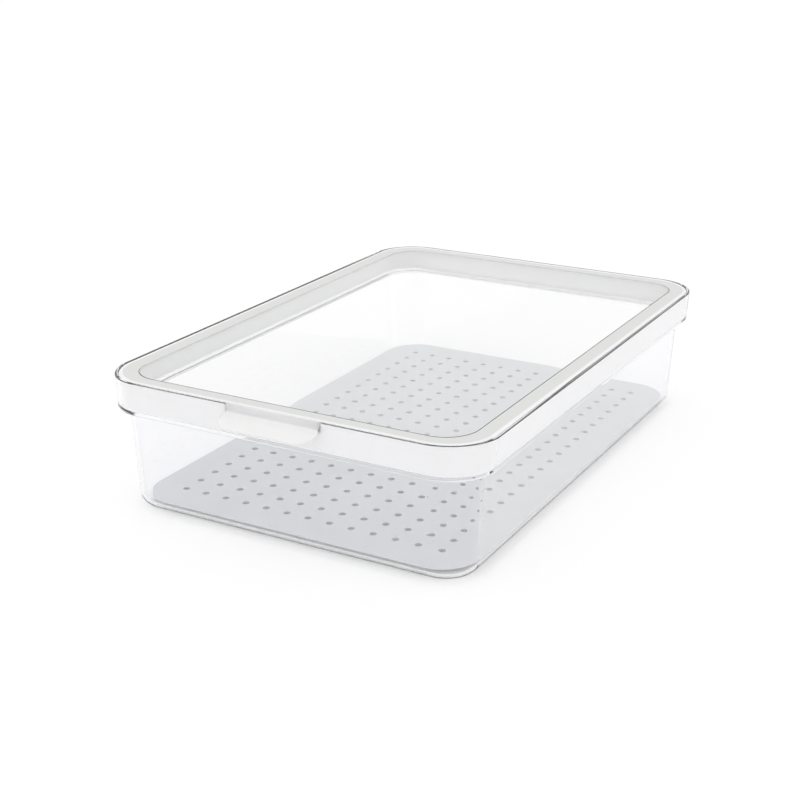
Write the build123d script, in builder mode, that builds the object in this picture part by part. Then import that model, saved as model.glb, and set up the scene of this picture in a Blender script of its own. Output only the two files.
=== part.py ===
"""Clear refrigerator organizer bin with a lift-off lid and a perforated drip tray.

Origin: centre of the bin's underside. X runs across the bin, Y along it, with the
lid's tab at the front (-Y), and Z runs up. Sizes are in millimetres.
"""
import math
import os

from build123d import *

# Sizes of the bin
rim_width = 184.0
rim_length = 270.0
rim_corner = 22.5
bin_height = 62.0
collar_draft = 4.5
collar_wall = 1.75
collar_foot_corner = 19.5
collar_foot_round = 0.8
rim_round = 0.5
collar_depth = 13.6
ledge_thickness = 1.7
body_width = 167.6
body_length = 255.2
body_corner = 15.0
body_draft = 2.85
body_wall = 1.5
floor_thickness = 1.6
foot_round = 5.6

# Sizes of the notch in the front of the collar
notch_depth = 6.6
notch_top_width = 47.8
notch_foot_width = 45.2
notch_corner = 1.2

# Sizes of the lid's frame and its tab
lid_clearance = 0.3
skirt_thickness = 1.4
flange_thickness = 2.0
window_width = 164.0
window_length = 252.0
window_corner = 15.0
tab_thickness = 1.9
tab_reach = 9.0
tab_start = 1.4
tab_steepest = 80.0
tab_end_slope = 15.0
tab_shoulder = 1.8
tab_hollow = 3.2
tab_corner = 6.5

# Sizes of the lid's window
window_thickness = 2.0
lap_width = 2.0
lap_depth = 1.0
joint_gap = 0.1

# Sizes of the drip tray
tray_top = 4.9
tray_thickness = 1.2
tray_side_clearance = 1.4
tray_end_clearance = 1.9
tray_corner = 18.0
tray_edge_round = 0.4
tray_top_round = 0.3
hole_pitch = 10.82
hole_diameter = 3.2
hole_columns = 13
hole_rows = 21
foot_diameter = 6.0
foot_rows = 4

# Levels and outlines worked out from the sizes
ledge_top = bin_height - collar_depth
ledge_foot = ledge_top - ledge_thickness
notch_foot = bin_height - notch_depth
collar_slope = math.tan(math.radians(collar_draft))
body_slope = math.tan(math.radians(body_draft))


def collar_shrink(level):
    """Width that the collar's outer face loses from the rim down to a level."""
    return 2 * (bin_height - level) * collar_slope


def body_growth(level):
    """Width that the lower body's outer face gains from the floor up to a level."""
    return 2 * level * body_slope


def ring_corner(inset, level):
    """Corner radius of an outline inside the collar by an inset, at a level."""
    share = (bin_height - level) / (bin_height - ledge_foot)
    outer = rim_corner + (collar_foot_corner - rim_corner) * share
    return outer - inset


def collar_outline(inset, level):
    """Rounded rectangle inside the collar's outer face by an inset, at a level."""
    width = rim_width - collar_shrink(level) - 2 * inset
    length = rim_length - collar_shrink(level) - 2 * inset
    return RectangleRounded(width, length, ring_corner(inset, level))


def body_outline(inset, level):
    """Rounded rectangle inside the lower body's outer face by an inset, at a level."""
    width = body_width + body_growth(level) - 2 * inset
    length = body_length + body_growth(level) - 2 * inset
    return RectangleRounded(width, length, body_corner + body_growth(level) / 2 - inset)


# Hollow of the lower body, from the floor up to the ledge
with BuildPart() as hollow:
    with BuildSketch(Plane.XY.offset(floor_thickness)):
        body_outline(body_wall, floor_thickness)
    with BuildSketch(Plane.XY.offset(ledge_top)):
        body_outline(body_wall, ledge_top)
    loft(ruled=True)
    fillet(hollow.edges().group_by(Axis.Z)[0], foot_round - body_wall)

# Hollow of the collar, above the ledge
with BuildPart() as collar_hollow:
    with BuildSketch(Plane.XY.offset(ledge_top)):
        collar_outline(collar_wall, ledge_top)
    with BuildSketch(Plane.XY.offset(bin_height)):
        collar_outline(collar_wall, bin_height)
    loft(ruled=True)

# Lower body of the bin
with BuildPart() as lower_body:
    with BuildSketch(Plane.XY):
        body_outline(0, 0)
    with BuildSketch(Plane.XY.offset(ledge_foot)):
        body_outline(0, ledge_foot)
    loft(ruled=True)
    fillet(lower_body.edges().group_by(Axis.Z)[0], foot_round)

# Bin: the lower body, the ledge and the collar with its notch
with BuildPart() as bin_shell:
    with BuildSketch(Plane.XY.offset(ledge_foot)):
        collar_outline(0, ledge_foot)
    with BuildSketch(Plane.XY.offset(bin_height)):
        collar_outline(0, bin_height)
    loft(ruled=True)
    fillet(bin_shell.edges().group_by(Axis.Z)[0], collar_foot_round)
    add(lower_body.part)
    add(hollow.part, mode=Mode.SUBTRACT)
    add(collar_hollow.part, mode=Mode.SUBTRACT)
    fillet(bin_shell.edges().group_by(Axis.Z)[-1], rim_round)
    notch_plane = Plane.XZ.offset(rim_length / 2 - 2 * collar_wall - collar_shrink(ledge_top) / 2)
    with BuildSketch(notch_plane) as notch:
        with BuildLine():
            Polyline(
                (-notch_foot_width / 2, notch_foot),
                (notch_foot_width / 2, notch_foot),
                (notch_top_width / 2, bin_height),
                (notch_top_width / 2, bin_height + collar_wall),
                (-notch_top_width / 2, bin_height + collar_wall),
                (-notch_top_width / 2, bin_height),
                close=True,
            )
        make_face()
        fillet(notch.vertices().group_by(Axis.Z)[0], notch_corner)
    extrude(amount=3 * collar_wall + collar_shrink(ledge_top), mode=Mode.SUBTRACT)
bin_shell.part.label = "bin"

# Tab of the lid: a sheet that drops through the notch and flares out in front of it
tab_level = bin_height - tab_thickness / 2
steep = math.radians(tab_steepest)
end_slope = math.radians(tab_end_slope)
tab_front = rim_length / 2 + tab_reach
tab_root = rim_length / 2 - collar_wall - lid_clearance - tab_start
shoulder_end = (
    -tab_root - tab_shoulder * math.sin(steep),
    tab_level - tab_shoulder * (1 - math.cos(steep)),
)
hollow_end = (
    shoulder_end[0] - tab_hollow * (math.sin(steep) - math.sin(end_slope)),
    shoulder_end[1] - tab_hollow * (math.cos(end_slope) - math.cos(steep)),
)
tip = (-tab_front, hollow_end[1] - (tab_front + hollow_end[0]) * math.tan(end_slope))
tab_width = notch_foot_width - 2 * lid_clearance
tab_top_width = notch_top_width - 2 * lid_clearance

with BuildPart() as tab:
    with BuildSketch(Plane.YZ) as tab_profile:
        with BuildLine() as tab_line:
            shoulder = TangentArc((-tab_root, tab_level), shoulder_end, tangent=(-1, 0))
            flare = TangentArc(shoulder_end, hollow_end, tangent=shoulder % 1)
            Line(hollow_end, tip)
        trace(line_width=tab_thickness)
    extrude(amount=notch_top_width, both=True)
    with BuildSketch(Plane.XZ.offset(tab_root - tab_thickness)):
        with BuildLine():
            Polyline(
                (-tab_width / 2, ledge_top),
                (tab_width / 2, ledge_top),
                (tab_width / 2, notch_foot),
                (tab_top_width / 2, bin_height),
                (-tab_top_width / 2, bin_height),
                (-tab_width / 2, notch_foot),
                close=True,
            )
        make_face()
    extrude(amount=tab_front, mode=Mode.INTERSECT)
    tip_edges = tab.edges().filter_by(Axis.X, reverse=True).filter_by(Axis.Y, reverse=True)
    fillet(tip_edges.group_by(Axis.Y)[0], tab_corner)

# Frame of the lid: flange flush with the rim, skirt down to the ledge, and the tab
frame_inset = collar_wall + lid_clearance
window_inset = frame_inset + skirt_thickness
with BuildPart() as skirt_hollow:
    with BuildSketch(Plane.XY.offset(ledge_top)):
        collar_outline(window_inset, ledge_top)
    with BuildSketch(Plane.XY.offset(bin_height - flange_thickness)):
        collar_outline(window_inset, bin_height - flange_thickness)
    loft(ruled=True)

with BuildPart() as lid_frame:
    with BuildSketch(Plane.XY.offset(ledge_top)):
        collar_outline(frame_inset, ledge_top)
    with BuildSketch(Plane.XY.offset(bin_height)):
        collar_outline(frame_inset, bin_height)
    loft(ruled=True)
    add(skirt_hollow.part, mode=Mode.SUBTRACT)
    with BuildSketch(Plane.XY.offset(bin_height)):
        RectangleRounded(window_width, window_length, window_corner)
    extrude(amount=-flange_thickness, mode=Mode.SUBTRACT)
    with BuildSketch(Plane.XY.offset(bin_height - lap_depth)):
        RectangleRounded(
            window_width + 2 * lap_width,
            window_length + 2 * lap_width,
            window_corner + lap_width,
        )
    extrude(amount=-flange_thickness, mode=Mode.SUBTRACT)
    relief_height = bin_height - shoulder_end[1]
    with BuildSketch(Plane.XZ.offset(tab_root)):
        with Locations((0, bin_height - relief_height / 2)):
            Rectangle(tab_width, relief_height)
    extrude(amount=tab_reach, mode=Mode.SUBTRACT)
    add(tab.part)
lid_frame.part.label = "lid_frame"

# Window of the lid: a clear plate, lapped under the frame's inner edge
with BuildPart() as lid_window:
    with BuildSketch(Plane.XY.offset(bin_height)):
        RectangleRounded(
            window_width - 2 * joint_gap,
            window_length - 2 * joint_gap,
            window_corner - joint_gap,
        )
    extrude(amount=-window_thickness)
    with BuildSketch(Plane.XY.offset(bin_height - lap_depth)):
        RectangleRounded(
            window_width + 2 * (lap_width - joint_gap),
            window_length + 2 * (lap_width - joint_gap),
            window_corner + lap_width - joint_gap,
        )
    extrude(amount=lap_depth - window_thickness)
lid_window.part.label = "lid_window"

# Drip tray: a perforated plate on short feet that stand on the bin's floor
tray_width = body_width + body_growth(tray_top) - 2 * (body_wall + tray_side_clearance)
tray_length = body_length + body_growth(tray_top) - 2 * (body_wall + tray_end_clearance)
tray_underside = tray_top - tray_thickness
with BuildPart() as drip_tray:
    with BuildSketch(Plane.XY.offset(tray_underside)):
        RectangleRounded(tray_width, tray_length, tray_corner)
    extrude(amount=tray_thickness)
    fillet(drip_tray.edges().group_by(Axis.Z)[0], tray_edge_round)
    fillet(drip_tray.edges().group_by(Axis.Z)[-1], tray_top_round)
    with BuildSketch(Plane.XY.offset(tray_underside)):
        with GridLocations(hole_pitch, hole_pitch, hole_columns, hole_rows):
            Circle(hole_diameter / 2)
    extrude(amount=tray_thickness, mode=Mode.SUBTRACT)
    foot_spacing_x = hole_columns * hole_pitch
    foot_spacing_y = hole_rows * hole_pitch / (foot_rows - 1)
    with BuildSketch(Plane.XY.offset(floor_thickness)):
        with GridLocations(foot_spacing_x, foot_spacing_y, 2, foot_rows):
            Circle(foot_diameter / 2)
    extrude(amount=tray_underside - floor_thickness)
drip_tray.part.label = "drip_tray"

os.makedirs("parts", exist_ok=True)
export_step(bin_shell.part, "parts/bin.step")
export_step(lid_frame.part, "parts/lid_frame.step")
export_step(lid_window.part, "parts/lid_window.step")
export_step(drip_tray.part, "parts/drip_tray.step")
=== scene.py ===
"""Clear refrigerator bin with a milky framed lid and a grey perforated drip tray, on white.

The object stands on the floor at the origin, +Z up, with the lid's tab towards -Y. Meshes are
laid out in millimetres, as the real pieces are, and turned to metres when they are made.
"""
import math

import bpy
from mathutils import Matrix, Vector


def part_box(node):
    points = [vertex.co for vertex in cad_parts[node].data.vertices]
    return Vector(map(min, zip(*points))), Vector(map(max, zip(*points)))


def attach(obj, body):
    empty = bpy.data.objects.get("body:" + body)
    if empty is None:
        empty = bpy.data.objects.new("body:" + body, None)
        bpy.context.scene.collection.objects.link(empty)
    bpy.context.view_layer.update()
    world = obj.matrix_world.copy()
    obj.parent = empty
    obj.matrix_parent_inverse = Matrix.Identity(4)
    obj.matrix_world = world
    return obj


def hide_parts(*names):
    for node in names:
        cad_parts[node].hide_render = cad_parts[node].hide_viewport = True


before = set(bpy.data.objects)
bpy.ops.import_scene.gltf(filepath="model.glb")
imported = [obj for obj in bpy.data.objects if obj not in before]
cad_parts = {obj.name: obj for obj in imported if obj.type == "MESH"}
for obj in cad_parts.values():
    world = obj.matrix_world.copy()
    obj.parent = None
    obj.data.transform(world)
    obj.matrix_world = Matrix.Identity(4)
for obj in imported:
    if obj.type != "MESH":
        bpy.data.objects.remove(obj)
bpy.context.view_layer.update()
scene = bpy.context.scene

MM = 0.001
CORNER_STEPS = 20
ROUND_STEPS = 5
ROUND_HANDLE = 0.5523
SHARP_ANGLE = math.radians(32)
WELD_DISTANCE = 0.01
TAB_ARC_STEPS = 10
TAB_TIP_STEPS = 14
TAB_ACROSS_STEPS = 24
HOLE_SIDES = 28
FOOT_SIDES = 32


def node_size_mm(node):
    """Width, length, lowest and highest level of a CAD node, in millimetres."""
    low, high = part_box(node)
    return (
        (high[0] - low[0]) / MM,
        (high[1] - low[1]) / MM,
        low[2] / MM,
        high[2] / MM,
    )


# Sizes in millimetres that the pieces share
bin_width, bin_length, bin_foot, bin_top = node_size_mm("bin")
ledge_level, lid_top = node_size_mm("lid_frame")[2:]
pane_width, pane_length, pane_foot, pane_top = node_size_mm("lid_window")
tray_width, tray_length, tray_low, tray_top = node_size_mm("drip_tray")
tab_tip = -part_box("lid_frame")[0][1] / MM

RIM_CORNER = 22.5
COLLAR_FOOT_CORNER = 19.5
COLLAR_SLOPE = math.tan(math.radians(4.5))
COLLAR_WALL = 1.75
LEDGE_THICKNESS = 1.7
BODY_WIDTH = 167.6
BODY_LENGTH = 255.2
BODY_CORNER = 15.0
BODY_SLOPE = math.tan(math.radians(2.85))
BODY_WALL = 1.5
FOOT_ROUND = 5.6
FLOOR_THICKNESS = 1.6
CAP_INSET = 2.5 * FOOT_ROUND
EDGE_ROUND = 0.45
SEAT_GAP = 0.03

NOTCH_DEPTH = 6.6
NOTCH_TOP_WIDTH = 47.8
NOTCH_FOOT_WIDTH = 45.2
NOTCH_CORNER = 1.2

LID_CLEARANCE = 0.3
SKIRT_THICKNESS = 1.4
FLANGE_THICKNESS = 2.0
LAP_WIDTH = 2.0
LAP_DEPTH = 1.0
JOINT_GAP = 0.1
PANE_CORNER = 15.0
PANE_CAP_INSET = 20.0

TAB_THICKNESS = 1.9
TAB_START = 1.4
TAB_STEEPEST = math.radians(80)
TAB_END_SLOPE = math.radians(15)
TAB_SHOULDER = 1.8
TAB_HOLLOW = 3.2
TAB_CORNER = 6.5

TRAY_CORNER = 18.0
TRAY_THICKNESS = 1.2
TRAY_EDGE_ROUND = 0.4
TRAY_TOP_ROUND = 0.3
TRAY_CAP_INSET = 30.0
HOLE_PITCH = 10.82
HOLE_DIAMETER = 3.2
HOLE_LIP = 0.25
HOLE_COLUMNS = 13
HOLE_ROWS = 21
FOOT_DIAMETER = 6.0
FOOT_ROWS = 4


# The room: floor in metres, lamp in metres and watts, and the camera that the photograph gave
FLOOR_HALF = 4.0
FLOOR_DROP = 0.0001
FLOOR_LIFT = 0.13
LIFT_SHARES = (("Is Glossy Ray", 1.0), ("Is Transmission Ray", 0.6))
BAND_STRENGTH = 0.3
BAND_FOOT = 0.04
BAND_TOP = 0.24
LAMP_PLACE = (-0.4, -0.5, 1.4)
LAMP_SIZE = 1.4
LAMP_WATTS = 0.6
CAMERA_PLACE = (0.307173, -0.580115, 0.266939)
CAMERA_AZIMUTH = math.radians(29.051)
CAMERA_ELEVATION = math.radians(20.323)
CAMERA_LENS = 64.32
CAMERA_SENSOR = 36.0

# The values between which most of a noise pattern lies
NOISE_MIDDLE = {"From Min": 0.3, "From Max": 0.7}


# Mesh helpers

def add_piece(name, mesh):
    """Puts a mesh in the scene as a new object at the origin."""
    piece = bpy.data.objects.new(name, mesh)
    scene.collection.objects.link(piece)
    return piece


def remove_object(helper):
    """Takes a helper object out of the file."""
    bpy.data.objects.remove(helper, do_unlink=True)


def settled(piece):
    """Turns a piece's modifiers into its plain mesh."""
    bpy.context.view_layer.update()
    graph = bpy.context.evaluated_depsgraph_get()
    mesh = bpy.data.meshes.new_from_object(piece.evaluated_get(graph))
    piece.modifiers.clear()
    piece.data = mesh
    return piece


def shaded(piece):
    """Smooth shading that breaks at sharp edges and keeps large flat walls flat."""
    piece.data.shade_smooth()
    piece.data.set_sharp_from_angle(angle=SHARP_ANGLE)
    weighted = piece.modifiers.new("flat walls", "WEIGHTED_NORMAL")
    weighted.keep_sharp = True
    weighted.weight = 100
    return settled(piece)


def carve(piece, tool, operation="DIFFERENCE"):
    """Cuts a piece by a tool, or joins the tool to it, and drops the tool."""
    cut = piece.modifiers.new("cut", "BOOLEAN")
    cut.operation = operation
    cut.solver = "EXACT"
    cut.object = tool
    settled(piece)
    remove_object(tool)
    return piece


def outline_points(width, length, corner):
    """Points round a rounded rectangle, anticlockwise seen from above."""
    points = []
    for quarter, (side_x, side_y) in enumerate(((1, 1), (-1, 1), (-1, -1), (1, -1))):
        centre_x = side_x * (width / 2 - corner)
        centre_y = side_y * (length / 2 - corner)
        for step in range(CORNER_STEPS + 1):
            angle = math.radians(90) * (quarter + step / CORNER_STEPS)
            x = centre_x + corner * math.cos(angle)
            points.append((x, centre_y + corner * math.sin(angle)))
    return points


def blend_knots(first, second, share):
    """A section part of the way from one knot to the next."""
    return tuple(a + (b - a) * share for a, b in zip(first, second))


def knot_distance(first, second):
    """Distance along the profile between two knots, across the wall and up."""
    return math.hypot((second[0] - first[0]) / 2, second[3] - first[3])


def rounded_profile(knots):
    """Sections (width, length, corner, level) through knots, each rounded by its last value."""
    sections = [knots[0][:4]]
    for before, knot, after in zip(knots, knots[1:], knots[2:]):
        radius = knot[4]
        middle = knot[:4]
        if radius <= 0:
            sections.append(middle)
            continue
        start = blend_knots(middle, before[:4], min(radius / knot_distance(knot, before), 0.48))
        end = blend_knots(middle, after[:4], min(radius / knot_distance(knot, after), 0.48))
        start_handle = blend_knots(start, middle, ROUND_HANDLE)
        end_handle = blend_knots(end, middle, ROUND_HANDLE)
        for step in range(ROUND_STEPS + 1):
            t = step / ROUND_STEPS
            weights = ((1 - t) ** 3, 3 * t * (1 - t) ** 2, 3 * t * t * (1 - t), t**3)
            corners = zip(start, start_handle, end_handle, end)
            section = (sum(w * v for w, v in zip(weights, values)) for values in corners)
            sections.append(tuple(section))
    sections.append(knots[-1][:4])
    return sections


def skin(name, sections, ring=False):
    """A closed solid through rounded rectangles: capped at both ends, or a ring."""
    vertices = []
    for width, length, corner, level in sections:
        outline = outline_points(width, length, corner)
        vertices.extend((x * MM, y * MM, level * MM) for x, y in outline)
    around = 4 * (CORNER_STEPS + 1)
    count = len(sections)
    faces = []
    for row in range(count if ring else count - 1):
        lower = row * around
        upper = (row + 1) % count * around
        for i in range(around):
            j = (i + 1) % around
            faces.append((lower + i, lower + j, upper + j, upper + i))
    if not ring:
        faces.append(tuple(reversed(range(around))))
        faces.append(tuple(range((count - 1) * around, count * around)))
    mesh = bpy.data.meshes.new(name)
    mesh.from_pydata(vertices, [], faces)
    mesh.validate()
    return add_piece(name, mesh)


def prism(name, outline, low, high, place):
    """A solid from an outline (anticlockwise in its own plane), stood between two distances."""
    count = len(outline)
    near = [place(u, v, low) for u, v in outline]
    far = [place(u, v, high) for u, v in outline]
    vertices = [tuple(value * MM for value in point) for point in near + far]
    faces = [tuple(reversed(range(count))), tuple(range(count, 2 * count))]
    faces += [(i, (i + 1) % count, (i + 1) % count + count, i + count) for i in range(count)]
    mesh = bpy.data.meshes.new(name)
    mesh.from_pydata(vertices, [], faces)
    return add_piece(name, mesh)


# Outlines that the pieces share

def collar_section(inset, level, rounding=0.0):
    """Section of the collar, drawn in from its outer face."""
    share = (bin_top - level) / (bin_top - ledge_level + LEDGE_THICKNESS)
    corner = RIM_CORNER + (COLLAR_FOOT_CORNER - RIM_CORNER) * share
    draw = 2 * (bin_top - level) * COLLAR_SLOPE + 2 * inset
    return (bin_width - draw, bin_length - draw, corner - inset, level, rounding)


def body_section(inset, level, rounding=0.0):
    """Section of the lower body, drawn in from its outer face."""
    grow = 2 * level * BODY_SLOPE - 2 * inset
    return (BODY_WIDTH + grow, BODY_LENGTH + grow, BODY_CORNER + grow / 2, level, rounding)


# Bin

def notch_tool():
    """The trapezoid that is cut from the front of the collar, with rounded lower corners."""
    foot = bin_top - NOTCH_DEPTH
    lean = (NOTCH_TOP_WIDTH - NOTCH_FOOT_WIDTH) / 2 / NOTCH_DEPTH
    slant = math.atan2(1, lean)
    centre_x = NOTCH_FOOT_WIDTH / 2 - NOTCH_CORNER
    right = []
    for step in range(ROUND_STEPS + 1):
        angle = -math.pi / 2 + slant * step / ROUND_STEPS
        x = centre_x + NOTCH_CORNER * math.cos(angle)
        right.append((x, foot + NOTCH_CORNER * (1 + math.sin(angle))))
    right.append((NOTCH_TOP_WIDTH / 2 + COLLAR_WALL * lean, bin_top + COLLAR_WALL))
    left = [(-x, z) for x, z in reversed(right)]
    front = -bin_length / 2
    back = front + 4 * COLLAR_WALL
    return prism("notch", right + left, front - 1, back, lambda u, v, d: (u, d, v))


def bin_shell():
    """The clear shell: foot, tapered walls, ledge and collar in one moulding, then the notch."""
    ledge_foot = ledge_level - LEDGE_THICKNESS
    knots = [
        body_section(CAP_INSET, bin_foot),
        body_section(0, bin_foot, FOOT_ROUND),
        body_section(0, ledge_foot, EDGE_ROUND),
        collar_section(0, ledge_foot, 2 * EDGE_ROUND),
        collar_section(0, bin_top, EDGE_ROUND),
        collar_section(COLLAR_WALL, bin_top, EDGE_ROUND),
        collar_section(COLLAR_WALL, ledge_level, EDGE_ROUND),
        body_section(BODY_WALL, ledge_level, EDGE_ROUND),
        body_section(BODY_WALL, FLOOR_THICKNESS, FOOT_ROUND - BODY_WALL),
        body_section(CAP_INSET, FLOOR_THICKNESS),
    ]
    shell = skin("bin_shell", rounded_profile(knots))
    carve(shell, notch_tool())
    return shaded(shell)


# Lid

def tab_line():
    """Side view of the tab's middle line: points (distance forward, level, slope)."""
    root = bin_length / 2 - COLLAR_WALL - LID_CLEARANCE - TAB_START
    level = lid_top - TAB_THICKNESS / 2
    points = [(root - TAB_START, level, 0.0)]
    forward, height = root, level
    turns = ((TAB_SHOULDER, 0.0, TAB_STEEPEST), (TAB_HOLLOW, TAB_STEEPEST, TAB_END_SLOPE))
    for radius, from_slope, to_slope in turns:
        step_turn = (to_slope - from_slope) / TAB_ARC_STEPS
        for step in range(TAB_ARC_STEPS):
            slope = from_slope + step_turn * (step + 0.5)
            points.append((forward, height, from_slope + step_turn * step))
            forward += radius * abs(step_turn) * math.cos(slope)
            height -= radius * abs(step_turn) * math.sin(slope)
    run = tab_tip - forward
    for step in range(TAB_TIP_STEPS + 1):
        share = math.sin(math.pi / 2 * step / TAB_TIP_STEPS)
        points.append(
            (forward + run * share, height - run * share * math.tan(TAB_END_SLOPE), TAB_END_SLOPE)
        )
    return points


def lid_tab():
    """The tab: a sheet that drops through the notch and flares forward, with full round edges."""
    half_sheet = TAB_THICKNESS / 2
    line = tab_line()
    foot_half = NOTCH_FOOT_WIDTH / 2 - LID_CLEARANCE
    top_half = NOTCH_TOP_WIDTH / 2 - LID_CLEARANCE
    upper, lower = [], []
    for forward, level, slope in line:
        rise = max(0.0, min(1.0, (level - lid_top + NOTCH_DEPTH) / NOTCH_DEPTH))
        half = foot_half + (top_half - foot_half) * rise
        past_corner = forward - (tab_tip - TAB_CORNER)
        if past_corner > 0:
            half -= TAB_CORNER - math.sqrt(max(TAB_CORNER**2 - past_corner**2, 0.0))
        for step in range(TAB_ACROSS_STEPS + 1):
            side = math.sin(math.pi / 2 * (2 * step / TAB_ACROSS_STEPS - 1))
            to_side = half * (1 - abs(side))
            to_tip = (tab_tip - forward) / math.cos(slope)
            edge = min(to_side, to_tip, half_sheet) / half_sheet
            thick = half_sheet * math.sqrt(max(1 - (1 - edge) ** 2, 0.0))
            out = (math.sin(slope) * thick, math.cos(slope) * thick)
            upper.append((half * side, -(forward + out[0]), level + out[1]))
            lower.append((half * side, -(forward - out[0]), level - out[1]))
    width = TAB_ACROSS_STEPS + 1
    rows = len(line)
    faces = []
    offset = len(upper)
    for row in range(rows - 1):
        for i in range(TAB_ACROSS_STEPS):
            a = row * width + i
            faces.append((a, a + width, a + width + 1, a + 1))
            faces.append((offset + a, offset + a + 1, offset + a + width + 1, offset + a + width))
    faces.append([*range(width), *(offset + i for i in reversed(range(width)))])
    mesh = bpy.data.meshes.new("tab")
    mesh.from_pydata([tuple(v * MM for v in p) for p in upper + lower], [], faces)
    tab = add_piece("tab", mesh)
    weld = tab.modifiers.new("weld", "WELD")
    weld.merge_threshold = WELD_DISTANCE * MM
    return settled(tab)


def relief_tool():
    """The stretch of the frame's front edge that gives way to the tab."""
    half = NOTCH_FOOT_WIDTH / 2 - LID_CLEARANCE
    drop = TAB_SHOULDER * (1 - math.cos(TAB_STEEPEST)) + TAB_THICKNESS / 2
    front = bin_length / 2 - COLLAR_WALL - LID_CLEARANCE
    low, high = lid_top - drop, lid_top + 1
    outline = [(-half, low), (half, low), (half, high), (-half, high)]
    return prism("relief", outline, -front - 1, -front + TAB_START, lambda u, v, d: (u, d, v))


def inside_outline(x, y, section):
    """Whether a point in millimetres lies inside a section's rounded rectangle."""
    width, length, corner = section[:3]
    over_x = max(abs(x) - (width / 2 - corner), 0)
    over_y = max(abs(y) - (length / 2 - corner), 0)
    return math.hypot(over_x, over_y) < corner


def mark_thin_flange_shade(piece):
    """Marks the faces of the flange that have no skirt under them, where the milky material paints
    a greyer shade.
    """
    hollow = collar_section(COLLAR_WALL + LID_CLEARANCE + SKIRT_THICKNESS, lid_top)
    thin_flange_shade = piece.data.attributes.new("thin_flange_shade", "FLOAT", "FACE")
    for face, mark in zip(piece.data.polygons, thin_flange_shade.data):
        x, y, level = (value / MM for value in face.center)
        over_hollow = level > lid_top - FLANGE_THICKNESS - EDGE_ROUND / 2
        mark.value = float(over_hollow and inside_outline(x, y, hollow))


def lid_frame():
    """The milky frame: flange flush with the rim, a skirt down to the ledge, and the tab."""
    inset = COLLAR_WALL + LID_CLEARANCE
    flange_foot = lid_top - FLANGE_THICKNESS
    lap_level = lid_top - LAP_DEPTH
    lap_opening = (pane_width + 2 * JOINT_GAP, pane_length + 2 * JOINT_GAP)
    pane_opening = (
        pane_width - 2 * LAP_WIDTH + 2 * JOINT_GAP,
        pane_length - 2 * LAP_WIDTH + 2 * JOINT_GAP,
    )
    knots = [
        (*lap_opening, PANE_CORNER + LAP_WIDTH, flange_foot, EDGE_ROUND / 3),
        collar_section(inset + SKIRT_THICKNESS, flange_foot, 2 * EDGE_ROUND),
        collar_section(inset + SKIRT_THICKNESS, ledge_level + SEAT_GAP, EDGE_ROUND),
        collar_section(inset, ledge_level + SEAT_GAP, EDGE_ROUND),
        collar_section(inset, lid_top, EDGE_ROUND),
        collar_section(inset + SKIRT_THICKNESS, lid_top, 0.0),
        (*pane_opening, PANE_CORNER, lid_top, EDGE_ROUND / 3),
        (*pane_opening, PANE_CORNER, lap_level, 0.0),
        (*lap_opening, PANE_CORNER + LAP_WIDTH, lap_level, 0.0),
    ]
    closed = knots[-1:] + knots + knots[:1]
    sections = rounded_profile(closed)[1:-1]
    piece = skin("milky_frame", sections, ring=True)
    carve(piece, relief_tool())
    carve(piece, lid_tab(), "UNION")
    shaded(piece)
    mark_thin_flange_shade(piece)
    return piece


def lid_pane():
    """The clear window: a flat plate with a step all round that laps under the frame."""
    lap_level = pane_top - LAP_DEPTH - SEAT_GAP
    upper = (pane_width - 2 * LAP_WIDTH, pane_length - 2 * LAP_WIDTH, PANE_CORNER)
    lower = (pane_width, pane_length, PANE_CORNER + LAP_WIDTH)
    middle = (pane_width - PANE_CAP_INSET, pane_length - PANE_CAP_INSET, PANE_CORNER)
    knots = [
        (*middle, pane_foot, 0.0),
        (*lower, pane_foot, EDGE_ROUND / 2),
        (*lower, lap_level, EDGE_ROUND / 3),
        (*upper, lap_level, EDGE_ROUND / 3),
        (*upper, pane_top, EDGE_ROUND / 2),
        (*middle, pane_top, 0.0),
    ]
    return shaded(skin("clear_pane", rounded_profile(knots)))


# Drip tray

def connect(tree, source, target):
    """Joins two sockets in a node tree."""
    tree.links.new(source, target)


def add_node(tree, kind, settings=None, inputs=None):
    """Adds a node with its settings, and sets or links its inputs."""
    node = tree.nodes.new(kind)
    for name, value in (settings or {}).items():
        setattr(node, name, value)
    for name, value in (inputs or {}).items():
        if isinstance(value, bpy.types.NodeSocket):
            connect(tree, value, node.inputs[name])
        else:
            node.inputs[name].default_value = value
    return node


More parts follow.
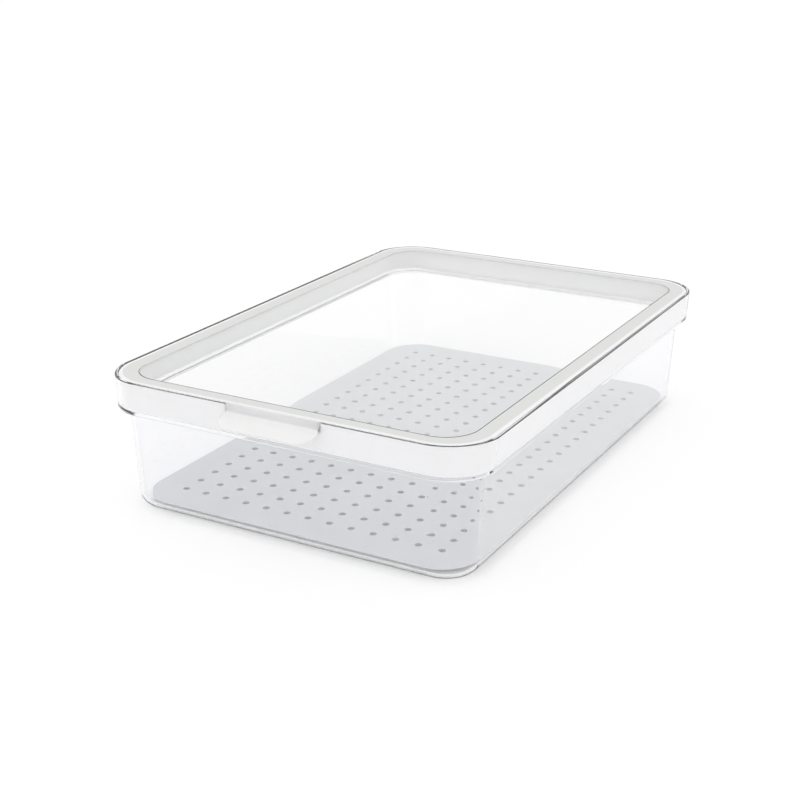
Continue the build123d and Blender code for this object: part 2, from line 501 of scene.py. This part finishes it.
def perforation_tree(material):
    """Geometry nodes that punch a grid of lipped round holes through a plate."""
    tree = bpy.data.node_groups.new("perforations", "GeometryNodeTree")
    sockets = tree.interface
    sockets.new_socket("Geometry", in_out="INPUT", socket_type="NodeSocketGeometry")
    for name in ("Pitch", "Hole radius", "Lip", "Top", "Thickness"):
        sockets.new_socket(name, in_out="INPUT", socket_type="NodeSocketFloat")
    for name in ("Columns", "Rows"):
        sockets.new_socket(name, in_out="INPUT", socket_type="NodeSocketInt")
    sockets.new_socket("Geometry", in_out="OUTPUT", socket_type="NodeSocketGeometry")
    given = add_node(tree, "NodeGroupInput").outputs

    multiply = ("ShaderNodeMath", {"operation": "MULTIPLY"})
    subtract = ("ShaderNodeMath", {"operation": "SUBTRACT"})
    add = ("ShaderNodeMath", {"operation": "ADD"})
    steps_x = add_node(tree, *subtract, {0: given["Columns"], 1: 1}).outputs[0]
    steps_y = add_node(tree, *subtract, {0: given["Rows"], 1: 1}).outputs[0]
    span_x = add_node(tree, *multiply, {0: steps_x, 1: given["Pitch"]}).outputs[0]
    span_y = add_node(tree, *multiply, {0: steps_y, 1: given["Pitch"]}).outputs[0]
    grid = add_node(
        tree,
        "GeometryNodeMeshGrid",
        inputs={
            "Size X": span_x,
            "Size Y": span_y,
            "Vertices X": given["Columns"],
            "Vertices Y": given["Rows"],
        },
    )
    drill_depth = add_node(tree, *multiply, {0: given["Thickness"], 1: 3}).outputs[0]
    drill = add_node(
        tree,
        "GeometryNodeMeshCylinder",
        inputs={
            "Vertices": HOLE_SIDES,
            "Radius": given["Hole radius"],
            "Depth": drill_depth,
        },
    )
    two_lips = add_node(tree, *multiply, {0: given["Lip"], 1: 2}).outputs[0]
    three_lips = add_node(tree, *multiply, {0: given["Lip"], 1: 3}).outputs[0]
    wide = add_node(tree, *add, {0: given["Hole radius"], 1: two_lips}).outputs[0]
    narrow = add_node(tree, *subtract, {0: given["Hole radius"], 1: given["Lip"]}).outputs[0]
    countersink = add_node(
        tree,
        "GeometryNodeMeshCone",
        inputs={
            "Vertices": HOLE_SIDES,
            "Radius Top": wide,
            "Radius Bottom": narrow,
            "Depth": three_lips,
        },
    )
    halved = add_node(tree, *multiply, {0: given["Thickness"], 1: 0.5}).outputs[0]
    drill_level = add_node(tree, *subtract, {0: given["Top"], 1: halved}).outputs[0]
    lip_level = add_node(tree, *subtract, {0: given["Top"], 1: given["Lip"]}).outputs[0]
    tools = []
    for mesh, level in ((drill, drill_level), (countersink, lip_level)):
        lift = add_node(tree, "ShaderNodeCombineXYZ", inputs={"Z": level})
        placed = add_node(
            tree,
            "GeometryNodeTransform",
            inputs={"Geometry": mesh.outputs["Mesh"], "Translation": lift.outputs[0]},
        )
        many = add_node(
            tree,
            "GeometryNodeInstanceOnPoints",
            inputs={"Points": grid.outputs["Mesh"], "Instance": placed.outputs["Geometry"]},
        )
        whole = add_node(tree, "GeometryNodeRealizeInstances", inputs={"Geometry": many.outputs[0]})
        tools.append(whole)
    plate = given["Geometry"]
    for tool in tools:
        cutting = {"operation": "DIFFERENCE", "solver": "EXACT"}
        cut = add_node(tree, "GeometryNodeMeshBoolean", cutting)
        connect(tree, plate, cut.inputs["Mesh 1"])
        connect(tree, tool.outputs[0], cut.inputs["Mesh 2"])
        plate = cut.outputs["Mesh"]
    realized = add_node(tree, "GeometryNodeRealizeInstances", inputs={"Geometry": plate})
    finish = add_node(
        tree,
        "GeometryNodeSetMaterial",
        inputs={"Geometry": realized.outputs[0], "Material": material},
    )
    result = add_node(tree, "NodeGroupOutput")
    connect(tree, finish.outputs[0], result.inputs[0])
    return tree


def foot_post(x, y):
    """One short round foot, from the bin's floor into the plate."""
    turn = 2 * math.pi / FOOT_SIDES
    radius = FOOT_DIAMETER / 2
    angles = [turn * i for i in range(FOOT_SIDES)]
    outline = [(x + radius * math.cos(a), y + radius * math.sin(a)) for a in angles]
    top = tray_top - TRAY_THICKNESS / 2
    return prism("foot", outline, tray_low + SEAT_GAP, top, lambda u, v, d: (u, v, d))


def drip_tray(material):
    """The grey tray: a plate with softened edges, 273 holes and eight feet."""
    underside = tray_top - TRAY_THICKNESS
    inner = (tray_width - TRAY_CAP_INSET, tray_length - TRAY_CAP_INSET, TRAY_CORNER)
    outer = (tray_width, tray_length, TRAY_CORNER)
    knots = [
        (*inner, underside, 0.0),
        (*outer, underside, TRAY_EDGE_ROUND),
        (*outer, tray_top, TRAY_TOP_ROUND),
        (*inner, tray_top, 0.0),
    ]
    plate = skin("perforated_tray", rounded_profile(knots))
    spacing_x = HOLE_COLUMNS * HOLE_PITCH / 2
    spacing_y = HOLE_ROWS * HOLE_PITCH / (FOOT_ROWS - 1)
    for side in (-1, 1):
        for row in range(FOOT_ROWS):
            y = spacing_y * (row - (FOOT_ROWS - 1) / 2)
            carve(plate, foot_post(side * spacing_x, y), "UNION")
    tree = perforation_tree(material)
    punch = plate.modifiers.new("perforations", "NODES")
    punch.node_group = tree
    sizes = {
        "Pitch": HOLE_PITCH * MM,
        "Hole radius": HOLE_DIAMETER / 2 * MM,
        "Lip": HOLE_LIP * MM,
        "Top": tray_top * MM,
        "Thickness": TRAY_THICKNESS * MM,
        "Columns": HOLE_COLUMNS,
        "Rows": HOLE_ROWS,
    }
    for socket in tree.interface.items_tree:
        if socket.name in sizes:
            punch[socket.identifier] = sizes[socket.name]
    settled(plate)
    return shaded(plate)


# Materials

def hex_colour(code):
    """An sRGB hex colour as linear RGBA."""
    channels = [int(code[i : i + 2], 16) / 255 for i in (1, 3, 5)]
    linear = [c / 12.92 if c <= 0.04045 else ((c + 0.055) / 1.055) ** 2.4 for c in channels]
    return (*linear, 1.0)


def new_material(name):
    """A material with its own shader, and the point on the piece in millimetres."""
    material = bpy.data.materials.new(name)
    material.use_nodes = True
    tree = material.node_tree
    shader = tree.nodes["Principled BSDF"]
    place = add_node(tree, "ShaderNodeTexCoord").outputs["Object"]
    to_mm = {0: place, "Scale": 1 / MM}
    in_mm = add_node(tree, "ShaderNodeVectorMath", {"operation": "SCALE"}, to_mm)
    return material, tree, shader, in_mm.outputs[0]


def clear_moulded_styrene(name, tint):
    """Clear styrene acrylonitrile, injected into a polished mould: near invisible on its faces,
    with dark lines at its edges and a slow wave in the wall that bends reflections."""
    material, tree, shader, place = new_material(name)
    shader.inputs["Base Color"].default_value = hex_colour(tint)
    shader.inputs["Transmission Weight"].default_value = 1.0
    shader.inputs["IOR"].default_value = 1.52
    haze_settings = {"Vector": place, "Scale": 1 / 9.0, "Detail": 3.0}
    haze = add_node(tree, "ShaderNodeTexNoise", inputs=haze_settings)
    gloss_settings = {"Value": haze.outputs["Fac"], **NOISE_MIDDLE, "To Min": 0.0, "To Max": 0.02}
    gloss = add_node(tree, "ShaderNodeMapRange", inputs=gloss_settings)
    connect(tree, gloss.outputs["Result"], shader.inputs["Roughness"])
    wave_settings = {"Vector": place, "Scale": 1 / 60.0, "Detail": 1.0}
    wave = add_node(tree, "ShaderNodeTexNoise", inputs=wave_settings)
    swell_settings = {"Height": wave.outputs["Fac"], "Distance": 0.02 * MM, "Strength": 0.1}
    swell = add_node(tree, "ShaderNodeBump", inputs=swell_settings)
    connect(tree, swell.outputs["Normal"], shader.inputs["Normal"])
    return material


def milky_moulded_polypropylene():
    """Milky polypropylene with a semi-gloss moulded face: white where it is deep, and painted
    shade, a greyer colour, where only the thin flange lies over the hollow and lets the light
    through."""
    material, tree, shader, place = new_material("milky moulded polypropylene")
    cloud_settings = {"Vector": place, "Scale": 1 / 14.0, "Detail": 2.0}
    cloud = add_node(tree, "ShaderNodeTexNoise", inputs=cloud_settings)
    share_settings = {"Value": cloud.outputs["Fac"], **NOISE_MIDDLE, "To Min": 0.0, "To Max": 1.0}
    share = add_node(tree, "ShaderNodeMapRange", inputs=share_settings)
    whites = {"Factor": share.outputs["Result"], 6: hex_colour("#F0F0EF"), 7: hex_colour("#F2F2F2")}
    deep = add_node(tree, "ShaderNodeMix", {"data_type": "RGBA"}, whites)
    # Painted shade: faces over the hollow get a greyer colour, standing in for the light that the
    # thin flange lets through.
    thin_flange_shade = add_node(tree, "ShaderNodeAttribute", {"attribute_name": "thin_flange_shade"})
    shades = {"Factor": thin_flange_shade.outputs["Fac"], 6: deep.outputs[2], 7: hex_colour("#DBDCDA")}
    colour = add_node(tree, "ShaderNodeMix", {"data_type": "RGBA"}, shades)
    connect(tree, colour.outputs[2], shader.inputs["Base Color"])
    shader.inputs["Subsurface Weight"].default_value = 0.25
    shader.inputs["Subsurface Radius"].default_value = (1.0, 1.0, 1.0)
    shader.inputs["Subsurface Scale"].default_value = 0.6 * MM
    shader.inputs["IOR"].default_value = 1.49
    grain_settings = {"Vector": place, "Scale": 1 / 0.5, "Detail": 2.0}
    grain = add_node(tree, "ShaderNodeTexNoise", inputs=grain_settings)
    gloss_settings = {"Value": grain.outputs["Fac"], **NOISE_MIDDLE, "To Min": 0.28, "To Max": 0.36}
    gloss = add_node(tree, "ShaderNodeMapRange", inputs=gloss_settings)
    connect(tree, gloss.outputs["Result"], shader.inputs["Roughness"])
    raised_settings = {"Height": grain.outputs["Fac"], "Distance": 0.006 * MM, "Strength": 0.5}
    raised = add_node(tree, "ShaderNodeBump", inputs=raised_settings)
    connect(tree, raised.outputs["Normal"], shader.inputs["Normal"])
    return material


def grey_textured_polypropylene():
    """Grey polypropylene from a finely eroded mould: a soft satin face with a fine grain."""
    material, tree, shader, place = new_material("grey textured polypropylene")
    cloud_settings = {"Vector": place, "Scale": 1 / 22.0, "Detail": 3.0}
    cloud = add_node(tree, "ShaderNodeTexNoise", inputs=cloud_settings)
    share_settings = {"Value": cloud.outputs["Fac"], **NOISE_MIDDLE, "To Min": 0.0, "To Max": 1.0}
    share = add_node(tree, "ShaderNodeMapRange", inputs=share_settings)
    greys = {"Factor": share.outputs["Result"], 6: hex_colour("#D4D6D8"), 7: hex_colour("#D8DADC")}
    colour = add_node(tree, "ShaderNodeMix", {"data_type": "RGBA"}, greys)
    connect(tree, colour.outputs[2], shader.inputs["Base Color"])
    shader.inputs["IOR"].default_value = 1.49
    # The real grain is about 0.05 mm, drawn at 0.4 mm so that it shows in the render.
    grain_settings = {"Vector": place, "Scale": 1 / 0.4, "Detail": 2.0}
    grain = add_node(tree, "ShaderNodeTexNoise", inputs=grain_settings)
    gloss_settings = {"Value": grain.outputs["Fac"], **NOISE_MIDDLE, "To Min": 0.42, "To Max": 0.55}
    gloss = add_node(tree, "ShaderNodeMapRange", inputs=gloss_settings)
    connect(tree, gloss.outputs["Result"], shader.inputs["Roughness"])
    raised_settings = {"Height": grain.outputs["Fac"], "Distance": 0.01 * MM, "Strength": 0.5}
    raised = add_node(tree, "ShaderNodeBump", inputs=raised_settings)
    connect(tree, raised.outputs["Normal"], shader.inputs["Normal"])
    return material


# Stage

def studio_floor():
    """A white floor that keeps the object's shadow and still meets the white background."""
    mesh = bpy.data.meshes.new("floor")
    level = bin_foot * MM - FLOOR_DROP
    sides = ((-1, -1), (1, -1), (1, 1), (-1, 1))
    corners = [(x * FLOOR_HALF, y * FLOOR_HALF, level) for x, y in sides]
    mesh.from_pydata(corners, [], [(0, 1, 2, 3)])
    floor = add_piece("floor", mesh)
    material = bpy.data.materials.new("white studio paper")
    material.use_nodes = True
    tree = material.node_tree
    tree.nodes.clear()
    paper = add_node(tree, "ShaderNodeBsdfDiffuse", inputs={"Color": hex_colour("#F2F2F2")})
    path = add_node(tree, "ShaderNodeLightPath").outputs
    lift = path["Is Camera Ray"]
    for kind, share in LIFT_SHARES:
        shared = {0: path[kind], 1: share}
        part = add_node(tree, "ShaderNodeMath", {"operation": "MULTIPLY"}, shared)
        larger = {0: lift, 1: part.outputs[0]}
        lift = add_node(tree, "ShaderNodeMath", {"operation": "MAXIMUM"}, larger).outputs[0]
    strength = add_node(tree, "ShaderNodeMath", {"operation": "MULTIPLY"}, {0: lift, 1: FLOOR_LIFT})
    glow = add_node(tree, "ShaderNodeEmission", inputs={"Strength": strength.outputs[0]})
    both = add_node(tree, "ShaderNodeAddShader", inputs={0: paper.outputs[0], 1: glow.outputs[0]})
    add_node(tree, "ShaderNodeOutputMaterial", inputs={"Surface": both.outputs[0]})
    mesh.materials.append(material)


def studio_world():
    """A white room, with a darker band low down that draws the edges of clear plastic. Only
    straight reflections and refractions see the band, so it takes no light from matt faces."""
    world = bpy.data.worlds.new("white room")
    scene.world = world
    world.use_nodes = True
    tree = world.node_tree
    tree.nodes.clear()
    direction = add_node(tree, "ShaderNodeTexCoord").outputs["Generated"]
    height = add_node(tree, "ShaderNodeSeparateXYZ", inputs={"Vector": direction}).outputs["Z"]
    limits = {"From Min": BAND_FOOT, "From Max": BAND_TOP, "To Min": BAND_STRENGTH, "To Max": 1.0}
    band = add_node(tree, "ShaderNodeMapRange", inputs={"Value": height, **limits})
    path = add_node(tree, "ShaderNodeLightPath").outputs
    kinds = {0: path["Is Glossy Ray"], 1: path["Is Transmission Ray"]}
    bent = add_node(tree, "ShaderNodeMath", {"operation": "MAXIMUM"}, kinds)
    no_matt_face = {0: path["Diffuse Depth"], 1: 0.5}
    straight = add_node(tree, "ShaderNodeMath", {"operation": "LESS_THAN"}, no_matt_face)
    both = {0: bent.outputs[0], 1: straight.outputs[0]}
    drawn = add_node(tree, "ShaderNodeMath", {"operation": "MULTIPLY"}, both)
    strengths = {"Factor": drawn.outputs[0], "A": 1.0, "B": band.outputs["Result"]}
    seen = add_node(tree, "ShaderNodeMix", {"data_type": "FLOAT"}, strengths)
    light = {"Color": hex_colour("#FFFFFF"), "Strength": seen.outputs["Result"]}
    room = add_node(tree, "ShaderNodeBackground", inputs=light)
    add_node(tree, "ShaderNodeOutputWorld", inputs={"Surface": room.outputs[0]})


def soft_lamp(name, place, size, watts):
    """A square soft lamp that faces the object."""
    data = bpy.data.lights.new(name, "AREA")
    data.shape = "SQUARE"
    data.size = size
    data.energy = watts
    lamp = bpy.data.objects.new(name, data)
    lamp.location = place
    lamp.rotation_euler = (-Vector(place)).to_track_quat("-Z", "Y").to_euler()
    scene.collection.objects.link(lamp)


def studio_camera():
    """The photograph's view, solved from the tray's holes and the rim."""
    data = bpy.data.cameras.new("camera")
    data.sensor_width = CAMERA_SENSOR
    data.lens = CAMERA_LENS
    camera = bpy.data.objects.new("camera", data)
    camera.location = CAMERA_PLACE
    camera.rotation_euler = (math.pi / 2 - CAMERA_ELEVATION, 0.0, CAMERA_AZIMUTH)
    scene.collection.objects.link(camera)
    scene.camera = camera


# Scene

def place_piece(piece, node, body, material):
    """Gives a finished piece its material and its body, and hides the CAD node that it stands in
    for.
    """
    piece.data.materials.clear()
    piece.data.materials.append(material)
    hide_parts(node)
    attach(piece, body)


clear_bin = clear_moulded_styrene("clear moulded styrene", "#FEFEFF")
clear_lid = clear_moulded_styrene("clear moulded styrene sheet", "#FEFEFE")
milky = milky_moulded_polypropylene()
grey = grey_textured_polypropylene()

place_piece(bin_shell(), "bin", "bin", clear_bin)
place_piece(lid_frame(), "lid_frame", "lid", milky)
place_piece(lid_pane(), "lid_window", "lid", clear_lid)
place_piece(drip_tray(grey), "drip_tray", "tray", grey)

studio_floor()
studio_world()
soft_lamp("key lamp", LAMP_PLACE, LAMP_SIZE, LAMP_WATTS)
studio_camera()

scene.view_settings.view_transform = "Standard"
# Light that has met a matt surface stays sharp as it leaves through the clear walls.
scene.cycles.blur_glossy = 0.0
